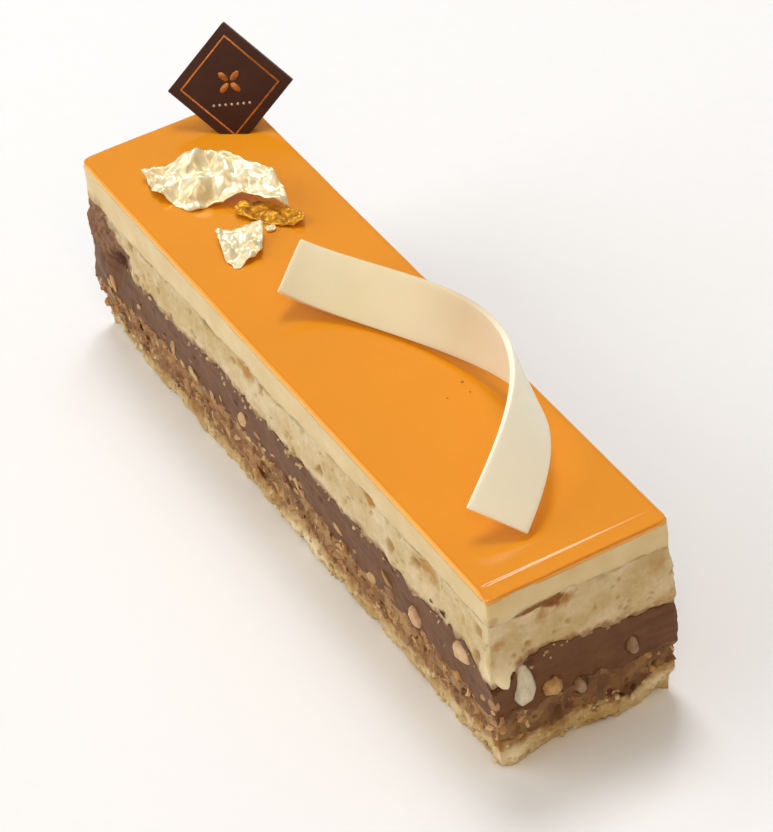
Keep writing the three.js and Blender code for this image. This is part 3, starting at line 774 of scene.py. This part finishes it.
leafPieces = [
    {"name": "gold_leaf_large_sheet", "node": "gold_leaf_large", "cuts": 4, "slot": "pale_gold_leaf",
     "folds": [(5.6, 2.4), (2.6, 0.6)], "torn": 0.25, "seed": 51, "calm": (-37.6, 3.0, 2.6)},
    {"name": "gold_leaf_amber_sheet", "node": "gold_leaf_amber", "cuts": 4, "slot": "amber_gold_leaf",
     "folds": [(2.2, 0.8), (1.0, 0.3)], "torn": 0.4, "seed": 52},
    {"name": "gold_leaf_small_sheet", "node": "gold_leaf_small", "cuts": 4, "slot": "pale_gold_leaf",
     "folds": [(3.4, 1.2), (1.6, 0.35)], "torn": 0.15, "seed": 53},
]
leafFit = {  # mm
    "thinner": 0.08,  # off each side of the solid
    "foldShare": 0.6,  # how much of each fold stands up
    "lift": 0.05,  # clear of the glaze
    "apart": 0.09,  # between its faces where it is pressed flat
}


def goldMaterial(name, pale, deep, roughness):
    # gold leaf: beaten metal, so thin that every crease is sharp and catches the light by itself
    material, tree, shader, place = startMaterial(name, {"Metallic": 0.6, "Roughness": roughness})
    tone = clouded(tree, place, 2.2, [(0.38, deep), (0.6, pale)], Detail=4, Roughness=0.6)
    finishMaterial(tree, shader, place, tone, (0.9, 0.2, 0.1), Detail=3, Roughness=0.6)
    return material


paleGold = goldMaterial("pale_gold_leaf", "#FFF6D6", "#EDDCAE", 0.4)
amberGold = goldMaterial("amber_gold_leaf", "#E2A42A", "#AC700C", 0.42)


def creases(spot, size, seed):
    # a sheet crushed from three sides: flat facets that meet in sharp folds, -1 to 1
    total = 0
    for k in range(3):
        turn = seed * 1.3 + k * 1.15
        along = (spot.x * math.cos(turn) + spot.y * math.sin(turn)) / (size * (1 + 0.3 * k))
        total += abs((along + 0.8 * wave(spot, 2 * size, seed + k)) % 1 * 2 - 1)
    return total / 1.5 - 1


def leafShape(leaf):
    bm = nodeCopy(leaf["node"])
    quadsFromTriangles(bm)
    bm.normal_update()
    for vert, normal in [(v, v.normal.copy()) for v in bm.verts]:
        vert.co -= normal * leafFit["thinner"] * mm
    bmesh.ops.subdivide_edges(bm, edges=bm.edges[:], cuts=leaf["cuts"], use_grid_fill=True, smooth=0.5)
    up = Vector((0, 0, 1))
    floorAt = glaze["top"] + leafFit["lift"]
    bm.normal_update()
    for vert, facesUp in [(v, v.normal.z > 0) for v in bm.verts]:
        p = vert.co / mm
        spot = Vector((p.x, p.y, 0))  # both faces of the leaf move alike
        fold = 0
        for i, (size, depth) in enumerate(leaf["folds"]):
            fold += depth * creases(spot, size, leaf["seed"] + i)
        if "calm" in leaf:
            x, y, reach = leaf["calm"]  # one wide fold without creases
            fold *= 1 - math.exp(-((p.x - x) ** 2 + (p.y - y) ** 2) / reach ** 2)
        tear = Vector((wave(spot, 0.9, leaf["seed"] + 7), wave(spot, 0.9, leaf["seed"] + 8), 0))
        p = p + up * fold * leafFit["foldShare"] + tear * leaf["torn"]
        p.z = max(p.z, floorAt + leafFit["apart"] * facesUp)
        vert.co = p * mm
    return bm


for leaf in leafPieces:
    material = amberGold if leaf["slot"] == "amber_gold_leaf" else paleGold
    addPiece(leaf["name"], leafShape(leaf), material, [leaf["node"]])
print("gold leaf done")


# dark chocolate plaque: a moulded square with a printed line and a small plain flower

plaque = {
    "softEdge": 0.16, "softSteps": 3,
    "printDepth": 0.05,  # mm that the coloured cocoa butter is thick
    "printSunk": 0.01,  # mm of that in the chocolate
    "border": {"side": 11.2, "width": 0.28},
    "petals": {"count": 4, "length": 1.9, "width": 0.95, "out": 1.25, "at": (0, 0.6)},
    "dots": {"count": 7, "radius": 0.22, "spacing": 0.95, "at": (0, -2.9)},
}


def darkChocolateMaterial():
    # dark chocolate: tempered and moulded, so a clean satin snap face with a faint bloom
    material, tree, shader, place = startMaterial("dark_chocolate", {
        "Roughness": 0.42, "Specular IOR Level": 0.22,
    })
    tone = clouded(tree, place, 4, [(0.3, "#40231A"), (0.7, "#4A2A1D")], Detail=4)
    finishMaterial(tree, shader, place, tone, (1.2, 0.1, 0.05), Detail=4)
    return material


def printMaterial(name, light, deep, metallic):
    # coloured cocoa butter: a thin transfer print, slightly patchy
    material, tree, shader, place = startMaterial(name, {"Roughness": 0.45, "Metallic": metallic})
    tone = clouded(tree, place, 0.6, [(0.35, deep), (0.6, light)], Detail=4, Roughness=0.7)
    tree.links.new(tone, shader.inputs["Base Color"])
    return material


def flatPlaque():
    bm = nodeCopy("dark_chocolate_plaque")
    bmesh.ops.dissolve_limit(bm, angle_limit=math.radians(2), verts=bm.verts[:], edges=bm.edges[:])
    return bm


def plaqueBody():
    bm = flatPlaque()
    bmesh.ops.bevel(bm, geom=bm.edges[:], offset=plaque["softEdge"] * mm, segments=plaque["softSteps"],
                    profile=0.5, affect="EDGES", material=-1)
    return bm


def plaqueFrame():
    # middle of the face towards the near end, its level diagonal and its upright one
    bm = flatPlaque()
    face = max(bm.faces, key=lambda f: f.calc_area() + (1 if f.normal.x - f.normal.y > 0 else 0))
    top = max(face.verts, key=lambda v: v.co.z).co
    foot = min(face.verts, key=lambda v: v.co.z).co
    middle, out = face.calc_center_median(), face.normal.copy()
    upright = (top - foot).normalized()
    level = upright.cross(out)
    bm.free()
    return Matrix.Translation(middle) @ Matrix((level, upright, out)).transposed().to_4x4()


def printShape(flat):
    # a flat outline in mm, raised to a thin print and laid on the plaque
    raised = bmesh.ops.extrude_face_region(flat, geom=flat.faces[:])
    lifted = [g for g in raised["geom"] if isinstance(g, bmesh.types.BMVert)]
    bmesh.ops.translate(flat, vec=(0, 0, plaque["printDepth"]), verts=lifted)
    bmesh.ops.translate(flat, vec=(0, 0, -plaque["printSunk"]), verts=flat.verts)
    bmesh.ops.recalc_face_normals(flat, faces=flat.faces[:])
    bmesh.ops.scale(flat, vec=(mm, mm, mm), verts=flat.verts)
    bmesh.ops.transform(flat, matrix=plaqueFrame(), verts=flat.verts)
    return flat


def borderPrint():
    bm = bmesh.new()
    line = plaque["border"]
    bmesh.ops.create_grid(bm, x_segments=1, y_segments=1, size=line["side"] / 2)
    middle = bmesh.ops.inset_region(bm, faces=bm.faces[:], thickness=line["width"],
                                      use_boundary=True, use_even_offset=True)
    ring = set(middle["faces"])
    bmesh.ops.delete(bm, geom=[f for f in bm.faces if f not in ring], context="FACES")
    bmesh.ops.rotate(bm, matrix=Matrix.Rotation(math.radians(45), 3, "Z"), verts=bm.verts)
    return printShape(bm)


def flowerPrint():
    bm = bmesh.new()
    petals = plaque["petals"]
    for i in range(petals["count"]):
        turn = Matrix.Rotation(math.radians(45 + 360 / petals["count"] * i), 4, "Z")
        place = (Matrix.Translation((*petals["at"], 0)) @ turn @ Matrix.Translation((petals["out"], 0, 0))
                 @ Matrix.Diagonal((petals["length"] / 2, petals["width"] / 2, 1, 1)))
        bmesh.ops.create_circle(bm, cap_ends=True, segments=20, radius=1, matrix=place)
    return printShape(bm)


def dotPrint():
    bm = bmesh.new()
    dots = plaque["dots"]
    for i in range(dots["count"]):
        x = dots["at"][0] + (i - (dots["count"] - 1) / 2) * dots["spacing"]
        bmesh.ops.create_circle(bm, cap_ends=True, segments=14, radius=dots["radius"],
                                matrix=Matrix.Translation((x, dots["at"][1], 0)))
    return printShape(bm)


copperPrint = printMaterial("copper_cocoa_butter_print", "#C9792A", "#9A5114", 0.3)
creamPrint = printMaterial("cream_cocoa_butter_print", "#C9B9A4", "#A08E7C", 0)
addPiece("dark_chocolate_plate", plaqueBody(), darkChocolateMaterial(),
         ["dark_chocolate_plaque"])
addPiece("printed_border_line", borderPrint(), copperPrint)
addPiece("printed_flower", flowerPrint(), copperPrint)
addPiece("printed_dots", dotPrint(), creamPrint)
print("plaque done")


# nut pieces set in the cut faces: broken, so their faces are flat and a little rough

nuts = {"cuts": 2, "grain": [(0.9, 0.08), (0.35, 0.04)]}


def nutMaterial(name, light, deep, clear):
    # blanched almond or roasted hazelnut: dense, oily flesh, slightly see-through at its thin edges
    material, tree, shader, place = startMaterial(name, {
        "Roughness": 0.5, "Subsurface Weight": clear, "Subsurface Scale": 1 * mm,
        "Subsurface Radius": (1, 0.85, 0.6),
    })
    tone = clouded(tree, place, 1.1, [(0.32, deep), (0.6, light)], Detail=4, Roughness=0.6)
    finishMaterial(tree, shader, place, tone, (0.3, 0.4, 0.06), Detail=3)
    return material


almondFlesh = nutMaterial("blanched_almond", "#DDD5BE", "#C8BC9C", 0.4)
warmAlmond = nutMaterial("toasted_almond", "#DFBC94", "#C49C70", 0.3)
hazelnutFlesh = nutMaterial("roasted_hazelnut", "#CDA468", "#A97C46", 0.25)
coatedNut = nutMaterial("cream_coated_nut", "#A98B6E", "#84664A", 0.2)
nutLooks = {
    "almond_sliver_1": coatedNut, "almond_sliver_2": warmAlmond, "almond_sliver_3": warmAlmond,
    "hazelnut_piece_1": hazelnutFlesh, "hazelnut_piece_2": coatedNut,
}


def nutShape(node, seed):
    bm = nodeCopy(node)
    bmesh.ops.subdivide_edges(bm, edges=bm.edges[:], cuts=nuts["cuts"], use_grid_fill=True, smooth=0.12)
    bm.normal_update()
    for vert, normal in [(v, v.normal.copy()) for v in bm.verts]:
        vert.co += normal * waves(vert.co / mm, nuts["grain"], seed) * mm
    return bm


for i, node in enumerate(nutNodes):
    addPiece(node + "_flesh", nutShape(node, 60 + i), nutLooks.get(node, almondFlesh),
             [node])
print("nuts done")


# a tongue of sponge that the knife dragged down over the cream at the near corner

tongue = {
    "spine": [  # mm
        (59.0, -13.0, 24.5), (59.9, -13.4, 21.6), (60.8, -13.5, 19.4),
        (61.5, -13.2, 17.6), (61.8, -12.7, 15.7),
    ],
    "girth": [0.5, 1.2, 1.6, 1.5, 1.05],  # half across
    "thin": 0.6,  # its share of that away from the cake
    "relief": [(1.6, 0.22), (0.6, 0.1)],
}


def tongueShape():
    bm = bmesh.new()
    bmesh.ops.create_icosphere(bm, subdivisions=5, radius=1)
    spine = [Vector(p) for p in tongue["spine"]]
    pale = bm.verts.layers.float.new("pale")
    for vert in bm.verts:
        along = (1 - vert.co.z) / 2 * (len(spine) - 1)
        i = min(int(along), len(spine) - 2)
        middle = spine[i].lerp(spine[i + 1], along - i)
        girth = between(tongue["girth"][i], tongue["girth"][i + 1], along - i)
        p = middle + Vector((vert.co.x * tongue["thin"], vert.co.y, 0)) * girth
        vert[pale] = 0.5 + 0.5 * smoothStep(along, 1, 3)
        vert.co = (p + vert.co * waves(p, tongue["relief"], 81)) * mm
    return bm


upperSponge = next(layer for layer in layers if layer["node"] == "upper_sponge")
addPiece("sponge_tongue", tongueShape(), upperSponge["material"])
print("tongue done")


# loose bits on the cut faces: wafer flakes, nut crumbs, caramel shards and sponge crumbs

def jitter(bm, size, depth, seed):
    bm.normal_update()
    for vert, normal in [(v, v.normal.copy()) for v in bm.verts]:
        vert.co += normal * depth * wave(vert.co, size, seed)


def flakeBit(seed):
    # a thin curved flake, 1 mm across before it is sized
    bm = bmesh.new()
    bmesh.ops.create_grid(bm, x_segments=3, y_segments=3, size=0.5)
    for vert in bm.verts:
        corner = abs(vert.co.x) > 0.4 and abs(vert.co.y) > 0.4
        vert.co *= (0.72 if corner else 1) * (1 + 0.35 * wave(vert.co, 0.4, seed))
        vert.co.z = 0.25 * vert.co.x ** 2 + 0.12 * wave(vert.co, 0.5, seed + 1)
    bmesh.ops.solidify(bm, geom=bm.faces[:], thickness=0.22)
    bmesh.ops.recalc_face_normals(bm, faces=bm.faces[:])
    return bm


def crumbBit(seed):
    # a rounded crumb, knobbly all over
    bm = bmesh.new()
    bmesh.ops.create_icosphere(bm, subdivisions=2, radius=0.5)
    jitter(bm, 0.55, 0.28, seed)
    jitter(bm, 0.25, 0.08, seed + 1)
    return bm


def shardBit(seed):
    # a broken lump of caramel, with blunt edges
    bm = bmesh.new()
    bmesh.ops.create_cube(bm, size=0.8)
    bmesh.ops.bevel(bm, geom=bm.edges[:], offset=0.12, segments=1, profile=0.5, affect="EDGES", material=-1)
    jitter(bm, 0.5, 0.3, seed)
    return bm


# size, and zone as a band of heights, are in mm, tilt and lean in radians; squash is the least and most width
# and the thickness, and sunk the depth, as shares of the size; nearEnd is the share kept at the near end
bitVariants = 7
looseBits = [
    {
        "name": "wafer_flakes", "shape": flakeBit, "node": "praline_crunch", "slot": "praline_crunch",
        "count": 420, "size": (1.0, 3.0), "squash": (0.35, 0.85, 0.7), "zone": (3.8, 10.6),
        "sunk": 0.08, "tilt": 0.5, "lean": (-0.8, 0.8), "nearEnd": 0.35, "seed": 71,
        "light": "#D9B684", "deep": "#A67845",
    },
    {
        "name": "hazelnut_crumbs", "shape": crumbBit, "node": "praline_crunch",
        "slot": "praline_crunch", "count": 300, "size": (0.8, 2.1), "squash": (0.6, 1.0, 0.7),
        "zone": (3.8, 10.4), "sunk": 0.22, "tilt": 1.5, "lean": (0, 6.3), "nearEnd": 0.5, "seed": 72,
        "light": "#BE9054", "deep": "#85572B",
    },
    {
        "name": "caramel_shards", "shape": shardBit, "node": "praline_crunch",
        "slot": "praline_crunch", "count": 130, "size": (0.6, 1.5), "squash": (0.5, 0.9, 0.9),
        "zone": (3.6, 10.4), "sunk": 0.25, "tilt": 1.5, "lean": (0, 6.3), "nearEnd": 0.6, "seed": 73,
        "light": "#8E5E2E", "deep": "#65401A",
    },
    {
        "name": "cut_wafer_edges", "shape": crumbBit, "node": "praline_cream",
        "slot": "praline_crunch", "count": 100, "size": (1.2, 3.4), "squash": (0.25, 0.7, 0.25),
        "zone": (9.0, 13.2), "sunk": 0.03, "tilt": 0.15, "lean": (-1.1, 1.1), "nearEnd": 0.12,
        "seed": 74, "light": "#CCA672", "deep": "#8E6236",
    },
    {
        "name": "sponge_crumbs", "shape": crumbBit, "node": "praline_cream", "slot": "sponge",
        "count": 260, "size": (0.35, 1.1), "squash": (0.6, 1.0, 0.8), "zone": (16.6, 19.5),
        "sunk": 0.05, "tilt": 1.5, "lean": (0, 6.3), "nearEnd": 0.3, "seed": 75, "light": "#D6BD8E",
        "deep": "#AE8C58",
    },
    {
        "name": "base_sponge_crumbs", "shape": crumbBit, "node": "base_sponge", "slot": "sponge",
        "count": 320, "size": (0.4, 1.3), "squash": (0.6, 1.0, 0.8), "zone": (0.6, 4.5), "sunk": 0.1,
        "tilt": 1.5, "lean": (0, 6.3), "seed": 76, "light": "#E0CC9E", "deep": "#BE9C66",
    },
]


def bitMaterial(name, light, deep):
    # broken wafer, nut, caramel and crumb: dry and matt, and every bit has a tone of its own
    material, tree, shader, place = startMaterial(name, {
        "Roughness": 0.6, "Subsurface Weight": 0.15, "Subsurface Scale": 0.5 * mm,
    })
    tones = addNode(tree, "Attribute", attribute_name="tone")
    cloud = addNode(tree, "TexNoise", {"Vector": place, "Scale": perMm(0.7), "Detail": 3})
    mixed = addNode(tree, "Mix", {0: 0.35, 2: tones.outputs["Fac"], 3: cloud.outputs["Fac"]})
    tone = addNode(tree, "ValToRGB", {"Fac": mixed.outputs[0]}, stops=[(0.2, deep), (0.8, light)])
    finishMaterial(tree, shader, place, tone.outputs["Color"], (0.3, 0.4, 0.06), Detail=3)
    return material


def scatterBits(kind):
    draw = random.Random(kind["seed"])
    variants = []
    for i in range(bitVariants):
        shape = kind["shape"](kind["seed"] + 3 * i)
        mesh = bpy.data.meshes.new("variant")
        shape.to_mesh(mesh)
        shape.free()
        variants.append(mesh)
    bm = bmesh.new()
    tone = bm.verts.layers.float.new("tone")
    tree = layerTrees[kind["node"]]
    wide, long = bar["halfWidth"], bar["halfLength"]
    sides = [(1, 0, wide), (-1, 0, wide), (0, 1, long), (0, -1, long)]
    spans = [2 * half for _, _, half in sides]
    done = 0
    while done < kind["count"]:
        wayX, wayY, half = draw.choices(sides, spans)[0]
        way = Vector((wayX, wayY, 0))
        across = Vector((-wayY, wayX, 0))
        start = way * 80 + across * draw.uniform(-half, half) + Vector((0, 0, draw.uniform(*kind["zone"])))
        hit = tree.ray_cast(start * mm, -way)
        size = between(kind["size"][0], kind["size"][1], draw.random() ** 2)
        turn = [draw.uniform(-kind["tilt"], kind["tilt"]) for _ in range(2)] + [draw.uniform(*kind["lean"])]
        shown = draw.choice(variants)
        shade = draw.random()
        if not hit[0] or wayX > 0 and draw.random() > kind.get("nearEnd", 1):
            continue
        facing = way.to_track_quat("Z", "Y").to_matrix().to_4x4()
        tilted = Euler(turn, "ZYX").to_matrix().to_4x4()
        squash = Matrix.Diagonal((1, draw.uniform(*kind["squash"][:2]), kind["squash"][2], 1))
        at = Matrix.Translation(hit[0] - way * kind["sunk"] * size * mm)
        copied = shown.copy()
        copied.transform(at @ facing @ tilted @ squash @ Matrix.Scale(size * mm, 4))
        before = len(bm.verts)
        bm.from_mesh(copied)
        bpy.data.meshes.remove(copied)
        bm.verts.ensure_lookup_table()
        for i in range(before, len(bm.verts)):
            bm.verts[i][tone] = shade
        done += 1
    for mesh in variants:
        bpy.data.meshes.remove(mesh)
    return bm


for kind in looseBits:
    material = bitMaterial(kind["name"] + "_broken", kind["light"], kind["deep"])
    addPiece(kind["name"], scatterBits(kind), material, smooth=False)
print("bits done")


# what lies loose on the glaze: three specks and a torn bit of leaf

onGlaze = {
    "specks": [(20.3, 6.3, 0.26), (22.1, 2.8, 0.18), (22.8, 6.1, 0.18)],  # x, y and radius in mm
    "bit": {"at": (-27.3, 1.3, 32.4), "turn": 0.6, "size": 1.4},
}


def speckShape():
    bm = bmesh.new()
    for x, y, radius in onGlaze["specks"]:
        flat = Matrix.Translation(Vector((x, y, glaze["top"])) * mm) @ Matrix.Diagonal((1, 1, 0.3, 1))
        bmesh.ops.create_icosphere(bm, subdivisions=2, radius=radius * mm, matrix=flat)
    jitter(bm, 0.2 * mm, 0.06 * mm, 78)
    return bm


def leafBitShape():
    bm = flakeBit(79)
    bit = onGlaze["bit"]
    bmesh.ops.transform(bm, verts=bm.verts, matrix=Matrix.Translation(Vector(bit["at"]) * mm)
                        @ Matrix.Rotation(bit["turn"], 4, "Z") @ Matrix.Scale(bit["size"] * mm, 4))
    return bm


speckSugar = nutMaterial("caramelised_praline_speck", "#B8741E", "#A05E14", 0)
addPiece("glaze_specks", speckShape(), speckSugar)
addPiece("gold_leaf_bit", leafBitShape(), paleGold, smooth=False)
